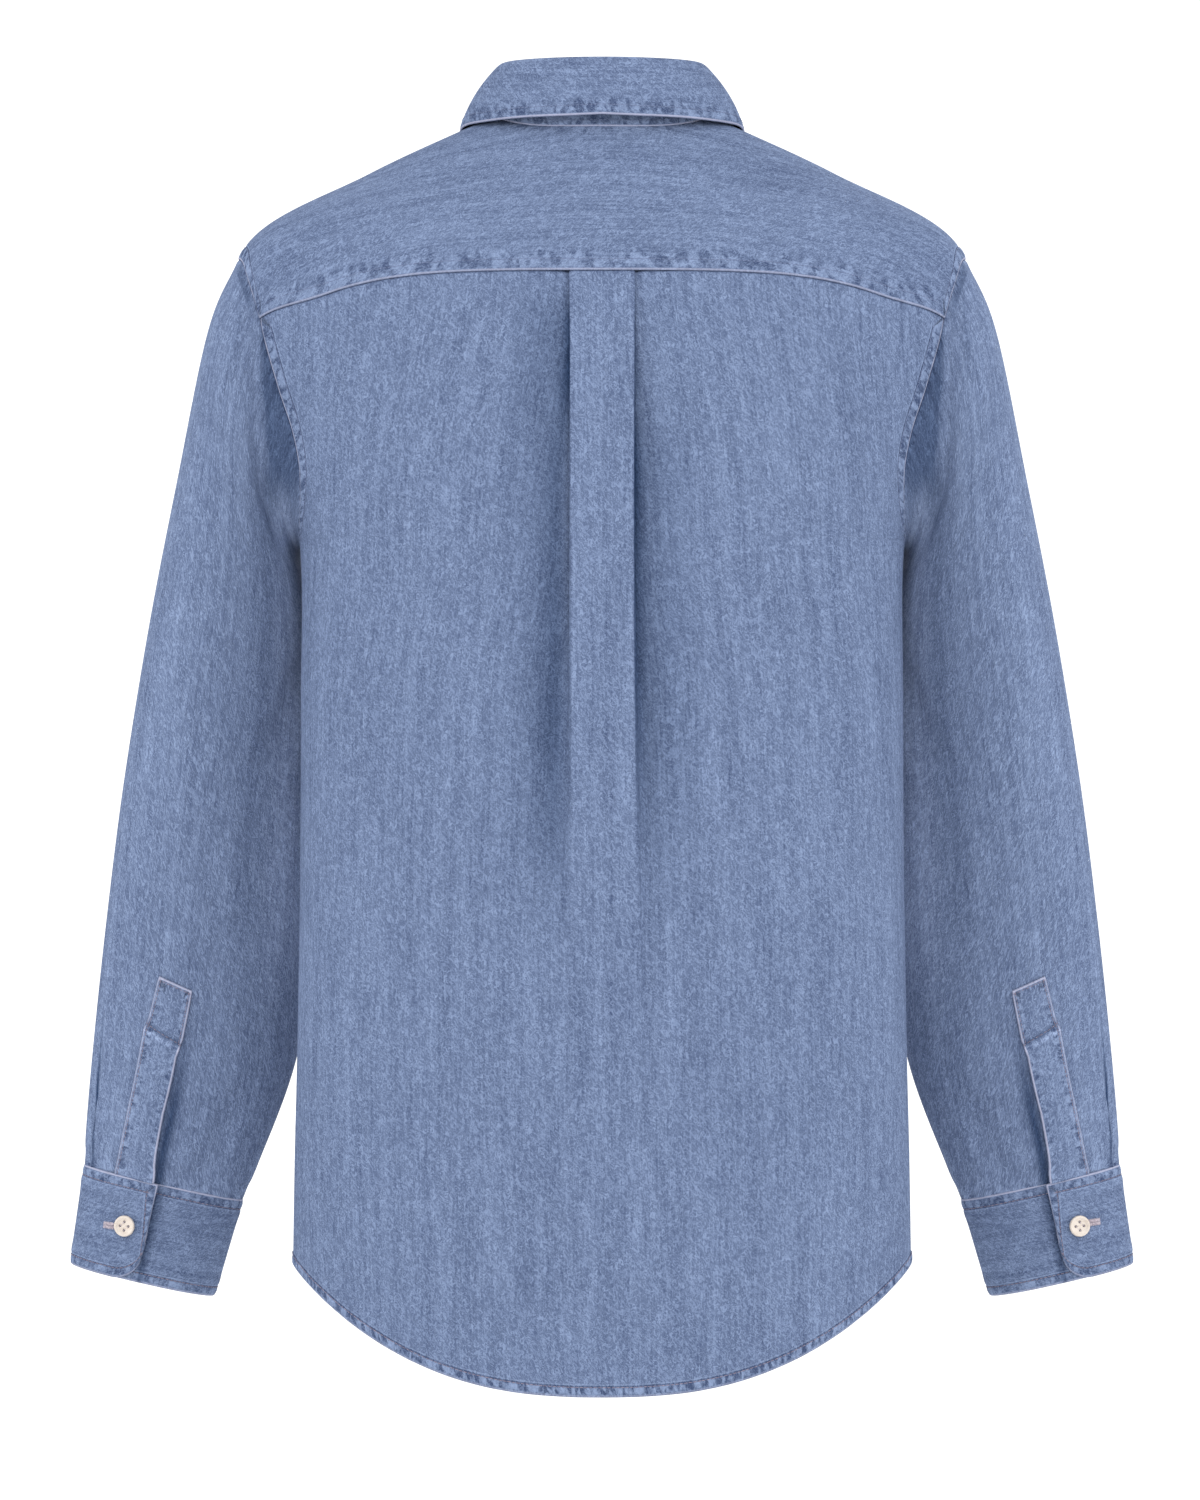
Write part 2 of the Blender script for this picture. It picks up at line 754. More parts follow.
@dataclass(frozen=True)
class DenimFinish:
    """Washed light-blue denim with slubs, crinkles, puckered seams and worn edges."""

    name: str = "washed_denim"
    dark: tuple = (0.040, 0.059, 0.121)
    light: tuple = (0.184, 0.240, 0.374)
    worn: tuple = (0.33, 0.345, 0.46)
    reverse: tuple = (0.30, 0.33, 0.39)
    roughness: float = 0.92
    specular: float = 0.08
    slub: float = 0.14
    crinkle: float = 0.6
    grain: float = 0.35
    mottle: float = 0.06
    ridge: float = 0.28
    relief: float = 0.00042

    def material(self) -> Material:
        """Builds the material from the cloth's own UV map and seam attributes."""
        n = Nodes(self.name)
        uv = n.make("UVMap", {}, "UV", uv_map="cloth")
        run, gap, pull = n.split("seam")
        edge, tone, inside = n.split("finish")
        reach, band, _ = n.split("sewn")

        slubs = n.noise(uv, (660.0, 32.0), 2.0, 0.6)
        broad = n.noise(uv, (120.0, 6.0))
        worms = n.noise(uv, (430.0, 330.0), distortion=1.1)
        hatch = n.noise(n.turned(uv, 38), (640.0, 220.0), distortion=0.5)
        strokes = n.math("MAXIMUM", n.near(worms - 0.5, 0.085), n.near(hatch - 0.52, 0.09) * 0.8)
        strokes *= n.ramp(n.noise(uv, (150.0, 110.0)), 0.34, 0.6, 0.8, 1.0)
        grain = n.noise(uv, (1400.0, 1200.0))
        blotch = n.noise(uv, (20.0, 13.0), 2.0)

        spread = (reach * 0.38 + 1.6) * 0.27
        along = n.make("CombineXYZ", {0: (run + gap * 0.16) / spread, 1: gap * 0.22})
        ragged = (n.noise(along, (0.16, 0.0)) - 0.45) * ((1.0 - band) * 1.3) + 1.0
        fade = n.ramp(gap / (reach * ragged), band * 0.38 + 0.5, 1.02, 1.0, 0.0)
        ridge = n.ramp(n.noise(along, (0.27, 0.5), 1.5, distortion=0.3), 0.36, 0.64, -1.0, 1.0)
        ridges = ridge * (n.ramp(gap, 0.3, 1.6) * fade * pull)
        groove = n.near(gap - reach, 0.75) * band
        crest = n.near(gap - reach - 1.2, 0.6) * band

        value = (slubs - 0.5) * (self.slub * 4) + 0.5 + (broad - 0.5) * (self.slub * 2.2)
        value = value + (strokes - 0.33) * self.crinkle + (grain - 0.5) * self.grain
        value = value + (blotch - 0.5) * (self.mottle * 2) + ridges * self.ridge - groove * 0.4 + crest * 0.34
        line = n.ramp(gap, 0.1, 0.85, 1.0, 0.0) * n.math("MAXIMUM", edge, 0.0)
        recess = n.ramp(gap, 0.2, 2.2, 1.0, 0.0) * n.math("MAXIMUM", edge * -1.0, 0.0)
        face = n.colour(line, n.colour(value, self.dark, self.light), self.worn)
        face = n.shaded(n.colour(recess, face, self.dark), tone)
        under = n.colour((slubs - 0.5) * 2.0 + 0.5, tuple(0.72 * k for k in self.reverse), self.reverse)
        n.bump(slubs * 0.22 + strokes * 0.42 + grain * 0.16 + ridges * 0.6 - groove * 0.8, 0.8, self.relief)
        return n.finished(n.colour(inside, face, under), self.roughness, self.specular)


@dataclass(frozen=True)
class CloudyFinish:
    """A plain finish with faint clouds of two colours.

    Attributes:
        name: the material's name.
        pale: the lighter colour.
        deep: the darker colour.
        roughness: how matt it is.
        scale: how fine the clouds are.
        stretch: their scale on each axis.
        detail: how many finer clouds they hold.
        distortion: how much they swirl.
        span: where the noise goes from deep to pale, or None for all of it.
        relief: the strength of the relief.
    """

    name: str
    pale: tuple
    deep: tuple
    roughness: float = 0.8
    scale: float = 3.0
    stretch: tuple = (1.0, 1.0, 1.0)
    detail: float = 2.0
    distortion: float = 0.0
    span: tuple | None = None
    relief: float = 0.0

    def material(self) -> Material:
        """Builds the material on the Object coordinates."""
        n = Nodes(self.name)
        place = n.scaled(n.make("TexCoord", {}, "Object"), self.stretch)
        inputs = {"Vector": place, "Scale": self.scale, "Detail": self.detail, "Distortion": self.distortion}
        cloud = n.make("TexNoise", inputs, "Fac")
        if self.relief > 0:
            n.bump(cloud, self.relief, 0.0001)
        share = n.ramp(cloud, *self.span) if self.span else cloud
        return n.finished(n.colour(share, self.deep, self.pale), self.roughness)


@dataclass(frozen=True)
class ThreadFinish(CloudyFinish):
    """Matt sewing thread with a fine twist."""

    roughness: float = 0.7
    scale: float = 900.0
    span: tuple = (0.35, 0.65)
    relief: float = 0.4


@dataclass(frozen=True)
class ButtonFinish(CloudyFinish):
    """Polished off-white button resin with faint cloudy streaks."""

    name: str = "button_resin"
    pale: tuple = (0.56, 0.50, 0.445)
    deep: tuple = (0.50, 0.43, 0.37)
    roughness: float = 0.32
    scale: float = 160.0
    stretch: tuple = (1.0, 1.0, 2.4)
    detail: float = 3.0
    distortion: float = 1.2
    span: tuple = (0.3, 0.6)
    relief: float = 0.15


@dataclass(frozen=True)
class FloorFinish(CloudyFinish):
    """Pale matt studio floor."""

    name: str = "studio_floor"
    pale: tuple = (0.86, 0.86, 0.86)
    deep: tuple = (0.8342, 0.8342, 0.8342)


@dataclass
class Wardrobe:
    """The finishes that the shirt's pieces share."""

    denim: Material
    tonal: Material
    contrast: Material
    pale: Material
    resin: Material


@dataclass
class Stitching:
    """Collects the sewn lines of all pieces and sews them in one go for each thread."""

    lines: dict = field(default_factory=lambda: {"tonal": [], "contrast": [], "pale": []})
    pitch: float = 2.6
    length: float = 2.45
    width: float = 0.44
    seed: int = 7

    def add(self, line: Array, thread: str = "tonal") -> None:
        """Keeps a line of points for a thread."""
        if len(line) > 1:
            self.lines[thread].append(line)

    def tree(self, name: str, material: Material) -> bpy.types.NodeTree:
        """The node tree that turns lines into rows of stitches.

        Args:
            name: the tree's name.
            material: the thread's finish.

        Returns:
            The tree, with inputs for the stitches' pitch, length and width.
        """
        tree = bpy.data.node_groups.new(name, "GeometryNodeTree")
        for label, way, kind in (
            ("Lines", "INPUT", "Geometry"), ("Pitch", "INPUT", "Float"), ("Length", "INPUT", "Float"),
            ("Width", "INPUT", "Float"), ("Seed", "INPUT", "Int"), ("Stitches", "OUTPUT", "Geometry"),
        ):
            tree.interface.new_socket(label, in_out=way, socket_type="NodeSocket" + kind)
        nodes = {key: tree.nodes.new(kind) for key, kind in (
            ("source", "NodeGroupInput"), ("target", "NodeGroupOutput"), ("curve", "GeometryNodeMeshToCurve"),
            ("points", "GeometryNodeResampleCurve"), ("tangent", "GeometryNodeInputTangent"),
            ("align", "FunctionNodeAlignRotationToVector"), ("ball", "GeometryNodeMeshUVSphere"),
            ("vary", "FunctionNodeRandomValue"), ("stretch", "ShaderNodeMath"),
            ("size", "ShaderNodeCombineXYZ"), ("place", "GeometryNodeInstanceOnPoints"),
            ("smooth", "GeometryNodeSetShadeSmooth"), ("real", "GeometryNodeRealizeInstances"),
            ("finish", "GeometryNodeSetMaterial"),
        )}
        nodes["points"].mode = "LENGTH"
        nodes["align"].axis = "Z"
        nodes["vary"].data_type = "FLOAT"
        nodes["stretch"].operation = "MULTIPLY"
        for key, socket, value in (
            ("ball", "Segments", 6), ("ball", "Rings", 4), ("ball", "Radius", 0.5),
            ("vary", 2, 0.86), ("vary", 3, 1.12), ("finish", "Material", material),
        ):
            nodes[key].inputs[socket].default_value = value
        for start, output, end, socket in (
            ("source", "Lines", "curve", "Mesh"), ("curve", "Curve", "points", "Curve"),
            ("source", "Pitch", "points", "Length"), ("points", "Curve", "place", "Points"),
            ("tangent", "Tangent", "align", "Vector"), ("align", "Rotation", "place", "Rotation"),
            ("ball", "Mesh", "place", "Instance"), ("source", "Seed", "vary", "Seed"),
            ("source", "Length", "stretch", 0), ("vary", 1, "stretch", 1), ("source", "Width", "size", 0),
            ("source", "Width", "size", 1), ("stretch", 0, "size", 2), ("size", 0, "place", "Scale"),
            ("place", "Instances", "smooth", "Geometry"), ("smooth", "Geometry", "real", "Geometry"),
            ("real", "Geometry", "finish", "Geometry"), ("finish", "Geometry", "target", "Stitches"),
        ):
            tree.links.new(nodes[start].outputs[output], nodes[end].inputs[socket])
        return tree

    def sew(self, thread: str, name: str, material: Material) -> Thing:
        """Turns a thread's lines into one plain mesh of stitches.

        Args:
            thread: the thread's key.
            name: the new object's name.
            material: the thread's finish.

        Returns:
            The object of all its stitches.
        """
        verts, edges = [], []
        for line in self.lines[thread]:
            first = len(verts)
            verts.extend((line * MM).tolist())
            edges.extend((first + k, first + k + 1) for k in range(len(line) - 1))
        mesh = bpy.data.meshes.new(name + "_lines")
        mesh.from_pydata(verts, edges, [])
        guide = linked(name + "_lines", mesh)
        tree = self.tree(name + "_rows", material)
        modifier = guide.modifiers.new("rows", "NODES")
        modifier.node_group = tree
        sizes = {"Pitch": self.pitch * MM, "Length": self.length * MM, "Width": self.width * MM,
                 "Seed": self.seed}
        for item in tree.interface.items_tree:
            if item.item_type == "SOCKET" and item.in_out == "INPUT" and item.name in sizes:
                modifier[item.identifier] = sizes[item.name]
        bpy.context.view_layer.update()
        graph = bpy.context.evaluated_depsgraph_get()
        made = bpy.data.meshes.new_from_object(guide.evaluated_get(graph))
        guide.modifiers.remove(modifier)
        bpy.data.objects.remove(guide)
        return linked(name, made)


# Pieces


@dataclass
class Piece:
    """What every sewn piece has: the shared finishes and the sewing box."""

    cloths: Wardrobe
    sewing: Stitching

    def stitch(self, grid: ClothGrid, border: Border, inset: float, skip: float, thread: str = "contrast",
               first: int = 0, last: int | None = None) -> None:
        """Sews a row beside a border of the cloth.

        Args:
            grid: the cloth.
            border: the border that the row follows.
            inset: its distance from the border.
            skip: the length left out at both ends.
            thread: the thread's key.
            first: where the row starts along the border.
            last: where it ends, or None for the border's end.
        """
        self.sewing.add(grid.line(Seam(border, first=first, last=last), inset, skip=skip), thread)

    def dress_cloth(self, grid: ClothGrid, node: str, slot: str, flat: tuple,
                    area: float | None = None) -> None:
        """Builds a cloth, puts it in the place of its node and states its cut.

        Args:
            grid: the cloth.
            node: the CAD node it stands for.
            slot: the material slot it takes its finish from.
            flat: the cut's width and length in metres.
            area: the cut's flat area in square metres.
        """
        obj = grid.build(node + "_cloth", self.cloths.denim)
        self.dress(obj, node, slot)

    def dress(self, obj: Thing, node: str, slot: str) -> None:
        """Puts a piece in the place of its node and reports it."""
        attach(obj, "root")
        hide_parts(node)
        surface = sum(p.area for p in obj.data.polygons) / 2
        triangles = sum(len(p.vertices) - 2 for p in obj.data.polygons)
        LOG.info("%s: %d triangles, one side %.4f m2", obj.name, triangles, surface)


@dataclass
class SidedPiece(Piece):
    """A piece of both sides, made for the wearer's left and mirrored for the right."""

    side: Side = Side.LEFT

    def own(self, grid: ClothGrid) -> ClothGrid:
        """The cloth on the piece's own side."""
        return grid if self.side is Side.LEFT else grid.mirrored()


@dataclass
class BackPanel(Piece):
    """The back from the yoke seam to the hem, with one box pleat down its middle."""

    half_box: float = 18
    overlap: float = 14
    layer: float = 1.6
    armhole_rows: int = 84
    side_columns: int = 40
    wide_reach: float = 34
    wide_depth: float = 0.3
    folds: tuple = (
        [-104, 4.2, -132, 7.1, 24, -2.8],
        [108, 4.4, 126, 6.6, 22, -1.8],
        [-66, 6.9, -58, 9.6, 22, -2],
        [82, 7.1, 92, 9.5, 24, -2.2],
    )
    opening: tuple = ([3, 0], [5, 0.5], [6.3, 1], [10, 1])
    depth: tuple = (
        [3, 1], [4.2, 1.6], [6, 1.35], [7.3, 0.55], [8.6, 0.2], [10, 0.1],
    )
    spread: dict = field(default_factory=lambda: {1: 1.2, -1: 0.75})
    gain: float = 4
    hem_width: float = 5.6
    shade_reach: tuple = (
        [3, 2], [3.5, 4], [4.1, 7], [4.8, 14], [6.2, 19], [8, 24],
    )
    shade_depth: dict = field(default_factory=lambda: {
        1: [[3, 0.3], [3.45, 1.02], [4.1, 1], [4.9, 0.8], [6, 0.8], [7.6, 0]],
        -1: [[3, 0.5], [3.4, 1.15], [4.2, 1.1], [5.6, 0.82], [7, 0]],
    })
    flat: tuple = (0.56, 0.66)
    area: float = 0.296

    def profile(self) -> tuple[Array, Array]:
        """Half of the pleat's section, closed and open, as offset and height."""
        h, o, y = self.half_box, self.overlap, self.layer
        closed = [[0, 0], [h / 2, 0], [h - 0.8, 0], [h, -y / 2], [h - 0.8, -y], [h - o, -y],
                  [h - o - 0.8, -1.5 * y], [h - o, -2 * y], [h + 2, -2 * y], [h + 14, -1.1 * y], [h + 30, 0]]
        opened = [[0, 0], [h / 2, 0], [h - 2, -0.3], [h - 0.2, -1.6], [h + 0.8, -3.2], [h + 2.2, -4.8],
                  [h + 5, -6], [h + 9, -6.2], [h + 16, -4.6], [h + 28, -1.8], [h + 46, 0]]
        return np.array(closed, float), np.array(opened, float)

    def pleat(self, k: Array, level: Array, sign: int) -> tuple[Array, Array]:
        """The pleat's offset from the middle and height, at a place k on its half section."""
        closed, opened = self.profile()
        amount = read(self.opening, level)
        x, height = (mix(spline(closed[:, axis], k), spline(opened[:, axis], k), amount) for axis in (0, 1))
        flush = fall(3, 3.28, level) * smooth(7.6, 8.4, k)
        height = height * read(self.depth, level) * (1 - 0.8 * flush)
        beyond = np.maximum(0, x - self.half_box)
        gain = 0 if sign > 0 else self.gain * smooth(5, 8, level) * np.minimum(1, x / self.half_box)
        spread = beyond * mix(1, self.spread[sign], amount)
        return sign * (np.minimum(x, self.half_box) + spread + gain), height

    def shade(self, k: Array, x: Array, level: Array, sign: int) -> Array:
        """The dark of the pleat's hollow and the faint line on its folded edges."""
        beyond = np.maximum(0, np.abs(x) - self.half_box)
        reach = read(self.shade_reach, level) * (1 if sign > 0 else 0.42)
        within = smooth(2.1, 2.8, k)
        hollow = 0.5 * read(self.shade_depth[sign], level) * within * np.exp(-(beyond / reach) ** 2)
        wide = self.wide_depth * read(self.shade_depth[1], level) * within
        wide = wide * np.exp(-(beyond / self.wide_reach) ** 2)
        worn = 0.06 * smooth(1.8, 2.0, k) * fall(2.2, 2.5, k) * fall(6.5, 8, level)
        if sign > 0:
            return worn - (hollow + wide) * (1 - 0.7 * smooth(3.75, 4.6, level) * np.exp(-(beyond / 7) ** 2))
        return worn - hollow - wide * mix(0.2, 1, smooth(3.9, 4.7, level))

    def grid(self) -> ClothGrid:
        """The whole panel as cloth."""
        phi = np.linspace(BODY.yoke_corner, 180, self.armhole_rows)
        low = np.concatenate([np.linspace(5, 9.87, 138)[1:], np.linspace(9.88, 10, 14)])
        level = np.concatenate([BODY.armhole_level(phi), low])[:, None]
        edge = np.concatenate([BODY.armhole_angle(phi), np.zeros(len(low))])[:, None]
        last = self.armhole_rows - 1
        level[last] = BODY.underarm
        t = graded(0, 1, self.side_columns, 1.35)[None, :]
        k = np.linspace(0, 10, 41)[None, :]
        halves = []
        for sign in (1, -1):
            x, height = self.pleat(k, level, sign)
            turn = BODY.angle_at(x, level, True)
            side = mix(edge if sign > 0 else 180 - edge, turn[:, -1:], t)[:, :-1]
            pairs = ((side, turn), (0 * side, height), (0 * side, self.shade(k, x, level, sign)))
            halves.append([np.concatenate([plain, pleat[:, ::-1]], 1) for plain, pleat in pairs])
        angle, height, tone = (np.concatenate([left, right[:, -2::-1]], 1) for left, right in zip(*halves))
        top = BODY.yoke_seam - BODY.corner_raised
        level = level + (BODY.yoke_level(angle) - top) * fall(top, 4.2, level)
        base = BODY.point(angle, level)
        drop = along_columns(base)
        hem = fall(self.hem_width - 0.5, self.hem_width + 0.5, drop[-1:] - drop)
        height = height + fold_rise(self.folds, base[..., 0], level) - 0.9 * fall(0, 3.5, drop)
        points = base + BODY.outward(angle, level) * (height + 0.3 * hem)[..., None]
        seams = [Seam(Border.TOP, 0.35, -0.8, reach=6)]
        seams += [Seam(border, 1.3, 1.0, 0, last, reach=7.6, band=1) for border in (Border.START, Border.END)]
        seams += [Seam(border, 0.4, 0.3, last, reach=5) for border in (Border.START, Border.END)]
        seams.append(Seam(Border.BOTTOM, 1.5, 0.35, reach=5.3, band=1))
        return ClothGrid(points, half=0.5 + 0.25 * hem, seams=seams, seed=11, tone=tone)

    def make(self) -> None:
        """Builds, sews and dresses the panel."""
        grid = self.grid()
        for border in (Border.START, Border.END):
            self.stitch(grid, border, 7.4, 2, "tonal", last=self.armhole_rows - 1)
        self.stitch(grid, Border.BOTTOM, 4.9, 1)
        self.dress_cloth(grid, "back", "denim", self.flat, self.area)


@dataclass
class Yoke(Piece):
    """The double yoke over the shoulders, its edge turned in and topstitched over the back."""

    corner_at_neck: float = 38
    rows: int = 60
    over_columns: int = 80
    back_columns: int = 150
    flat: tuple = (0.48, 0.20)
    area: float = 0.064

    def grid(self) -> ClothGrid:
        """The whole yoke as cloth."""
        corner = BODY.yoke_corner
        phi = np.linspace(BODY.shoulder_seam, corner, self.over_columns)
        share = (phi - phi[0]) / (corner - phi[0])
        t = np.linspace(0, 1, self.back_columns)[1:]
        over = mix(BODY.shoulder_seam_at_neck, self.corner_at_neck, share)
        behind = mix(self.corner_at_neck, 90, t)
        across = mix(BODY.armhole_angle(corner), 90, t)
        neck, angle = np.concatenate([over, behind]), np.concatenate([BODY.armhole_angle(phi), across])
        level = np.concatenate([BODY.armhole_level(phi), BODY.yoke_level(across)])
        neck, angle = (np.concatenate([a, 180 - a[-2::-1]]) for a in (neck, angle))
        level = np.concatenate([level, level[-2::-1]])
        down = 1 - graded(0, 1, self.rows, 1.25)[::-1][:, None]
        at, v = mix(neck[None], angle[None], down), level[None] * down
        base = BODY.point(at, v)
        drop = along_columns(base)
        rolled = 0.45 * fall(5.5, 8.5, drop[-1:] - drop)
        points = base + BODY.outward(at, v) * (0.05 + 0.3 * rolled)[..., None]
        first, last = self.back_part(len(angle))
        seams = [Seam(Border.BOTTOM, 1.3, 1.0, 0, first - 1, reach=7.6, band=1),
                 Seam(Border.BOTTOM, 1.0, 0.6, first, last, reach=13.5),
                 Seam(Border.BOTTOM, 1.3, 1.0, last + 1, reach=7.6, band=1), Seam(Border.TOP, 0.6, 0.0),
                 Seam(Border.START, 0.9, 0.7, reach=6), Seam(Border.END, 0.9, 0.7, reach=6)]
        return ClothGrid(points, half=0.5 + rolled * 0.35, seams=seams, grain=Grain.ACROSS, seed=23,
                         planar=True, lining=0.3)

    def back_part(self, columns: int) -> tuple[int, int]:
        """The first and the last column of the edge that lies on the back."""
        return self.over_columns, columns - self.over_columns - 1

    def make(self) -> None:
        """Builds, sews and dresses the yoke."""
        grid = self.grid()
        first, last = self.back_part(grid.points.shape[1])
        self.stitch(grid, Border.BOTTOM, 6.2, 3, "tonal", first, last)
        for start, end in ((0, first - 1), (last + 1, None)):
            self.stitch(grid, Border.BOTTOM, 7.4, 2, "tonal", start, end)
        for border in (Border.START, Border.END):
            self.stitch(grid, border, 5.5, 4, "tonal")
        self.dress_cloth(grid, "yoke", "denim_crosswise", self.flat, self.area)


@dataclass
class Front(SidedPiece):
    """A front with its turned-in button band and soft folds."""

    seam_rows: int = 46
    armhole_rows: int = 74
    band_half: float = 16
    layer: float = 1.6
    folds: tuple = (
        [140, 4.1, 96, 6.2, 24, -2.6],
        [70, 5.6, 78, 8.9, 24, 2],
        [120, 6.9, 126, 9.6, 22, -2.4],
        [44, 3.0, 60, 6.4, 20, 1.3],
    )
    flat: tuple = (0.26, 0.72)
    area: float = 0.165

    def grid(self) -> ClothGrid:
        """The front as cloth, made for the wearer's left."""
        seam_level = float(BODY.armhole_level(BODY.shoulder_seam))
        top = np.linspace(0, 1, self.seam_rows)[:-1]
        phi = np.linspace(360 + BODY.shoulder_seam, 180, self.armhole_rows)
        low = np.concatenate([np.linspace(5, 9.87, 96)[1:], np.linspace(9.885, 10, 10)])
        level = np.concatenate([top * seam_level, BODY.armhole_level(phi), low])[:, None]
        last = len(top) + len(phi) - 1
        level[last] = BODY.underarm
        edge = np.concatenate([
            mix(BODY.shoulder_seam_at_neck, BODY.armhole_angle(BODY.shoulder_seam), top),
            BODY.armhole_angle(phi), np.zeros(len(low)),
        ])[:, None]
        half = self.band_half
        x = np.concatenate([
            np.linspace(-half, half - 1.2, 17), [half - 0.6, half, half + 0.8],
            np.linspace(half + 2.5, half + 12, 5),
        ])
        band = BODY.angle_at(x[None, :], level, False)
        t = (1 - graded(0, 1, 58, 1.35)[::-1])[None, 1:]
        side = mix(band[:, -1:], edge, t)
        angle = np.concatenate([band, side], 1)
        level = level + 0 * angle
        base = BODY.point(angle, level)
        if self.side is Side.LEFT:
            rise = 0.45 * fall(half - 0.8, half + 0.3, base[..., 0])
            over = 1 + 1.6 * rise
        else:
            rise = -self.layer * fall(half + 1, half + 11, base[..., 0])
            over = 1
        rise = rise + fold_rise(self.folds, base[..., 0], level)
        drop, inward = along_columns(base), along_rows(base)
        under = 0.9 * fall(0, 3.5, inward[:, -1:] - inward)
        hem = fall(5.1, 6.1, drop[-1:] - drop)
        points = base + BODY.outward(angle, level) * (rise - under + 0.25 * hem)[..., None]
        seams = [
            Seam(Border.TOP, 0.4, 0.0), Seam(Border.END, 0.5, -0.5, 0, len(top)),
            Seam(Border.END, 1.3, 1.0, len(top), last, reach=7.6, band=1), Seam(Border.END, 0.4, -0.3, last),
            Seam(Border.BOTTOM, 1.5, 0.35, reach=5.3, band=1),
            Seam(Border.START, 0.8, 0.6, reach=5.5, band=1),
        ]
        wall = 0.5 * over + 0.25 * hem
        return self.own(ClothGrid(points, half=wall, seams=seams, seed=31 + self.side.value, centre=0))

    def make(self) -> None:
        """Builds, sews and dresses the front."""
        grid = self.grid()
        self.stitch(grid, Border.START, 5.5, 3)
        self.stitch(grid, Border.START, 2 * self.band_half - 5.5, 3)
        self.stitch(grid, Border.BOTTOM, 4.9, 2)
        last = self.seam_rows + self.armhole_rows - 2
        self.stitch(grid, Border.END, 7.4, 2, "tonal", self.seam_rows, last)
        self.dress_cloth(grid, "front_" + self.side.word, "denim", self.flat, self.area)


@dataclass
class Sleeve(SidedPiece):
    """A sleeve from the armhole into the cuff, with one pleat beside its outer edge."""

    pleat_at: float = 27
    layer: float = 1.6
    start: float = 5.4
    full: float = 7.6
    shades: tuple = (
        [84.5, 5.5, 90, 9.4, 6.5, -0.8],
        [38, 0.1, 66, 0.85, 4, -0.2],
    )
    hollow: tuple = ([0, 66], [0.25, 78], [0.5, 92], [0.8, 106], [1.2, 114])
    pleat_line: tuple = ([5.2, 24.5], [6.24, 23.4], [6.9, 26.5], [7.86, 27.8])
    flat: tuple = (0.44, 0.60)
    area: float = 0.167

    def grid(self) -> ClothGrid:
        """The sleeve as cloth, made for the wearer's left."""
        y = self.layer
        folded = np.array([
            [-9, 0], [-2, -1.6 * y], [5, -2 * y], [6, -1.5 * y], [5, -y], [-2, -y], [-3, -y / 2],
            [-2, 0], [8, 0],
        ])
        plain = np.array([-9, -6, -3.5, -1.2, 0.6, 2, 3.4, 5, 8])
        k = np.linspace(0, 8, 33)
        level = np.concatenate([
            np.linspace(0, 0.12, 5)[:-1], np.linspace(0.12, 7.8, 176)[:-1], np.linspace(7.8, 8.1, 9),
        ])[:, None]
        closed = smooth(self.start, self.full, level)
        middle = self.pleat_at + mix(spline(plain, k)[None], spline(folded[:, 0], k)[None], closed)
        heights = spline(folded[:, 1], k)[None] * closed
        before = np.linspace(-180, self.pleat_at - 9, 62)[None, :-1] + 0 * level
        after = np.linspace(self.pleat_at + 8, 180, 52)[None, 1:] + 0 * level
        phi = np.concatenate([before, middle, after], 1)
        height = np.concatenate([0 * before, heights, 0 * after], 1)
        level = level + 0 * phi
        base = SLEEVE.point(phi, level)
        drop = along_columns(base)
        rise = drop[-1:] - drop
        tucked = 0.5 + 1.9 * smooth(44, 60, phi) * fall(100, 130, phi)
        height = height - 0.7 * fall(0, 3.5, drop) - tucked * fall(1, 9, rise)
        points = SLEEVE.point(phi, level, height)
        fold = mix(0, smooth(0.2, 1.6, k) * fall(5.6, 6.6, k), closed)
        tone = self.shade(phi, level) - 0.6 * np.concatenate([0 * before, fold, 0 * after], 1)
        seams = [Seam(Border.TOP, 0.6, -1.0, reach=6), Seam(Border.BOTTOM, 0.9, -0.7, reach=10)]
        return self.own(ClothGrid(points, loop=True, seams=seams, tone=tone, seed=41))

    def shade(self, phi: Array, level: Array) -> Array:
        """The dark beside the body and in the pleat's crease, and the light that faces the body."""
        start, place = read(self.hollow, level), read(self.pleat_line, level)
        hollow = smooth(start - 6, start + 8, phi) * fall(118, 150, phi)
        hollow = hollow * fall(0.5, 1.9, level)
        facing = smooth(112, 134, phi) * fall(160, 185, np.mod(phi, 360))
        lit = facing * smooth(0.3, 0.9, level) * fall(4.4, 5.8, level)
        beside = smooth(15, 28, phi) * fall(48, 64, phi)
        beside = beside * fall(0.04, 0.1, np.abs(level - 0.12))
        crease = fall(0.3, 2.6, np.abs(phi - place)) * smooth(5.3, 6.6, level)
        tone = fold_rise(self.shades, np.mod(phi, 360), level) + 0.1
        return tone - 0.62 * hollow + 0.9 * lit - 0.4 * beside - 0.8 * crease

    def make(self) -> None:
        """Builds and dresses the sleeve."""
        self.dress_cloth(self.grid(), "sleeve_" + self.side.word, "denim", self.flat, self.area)


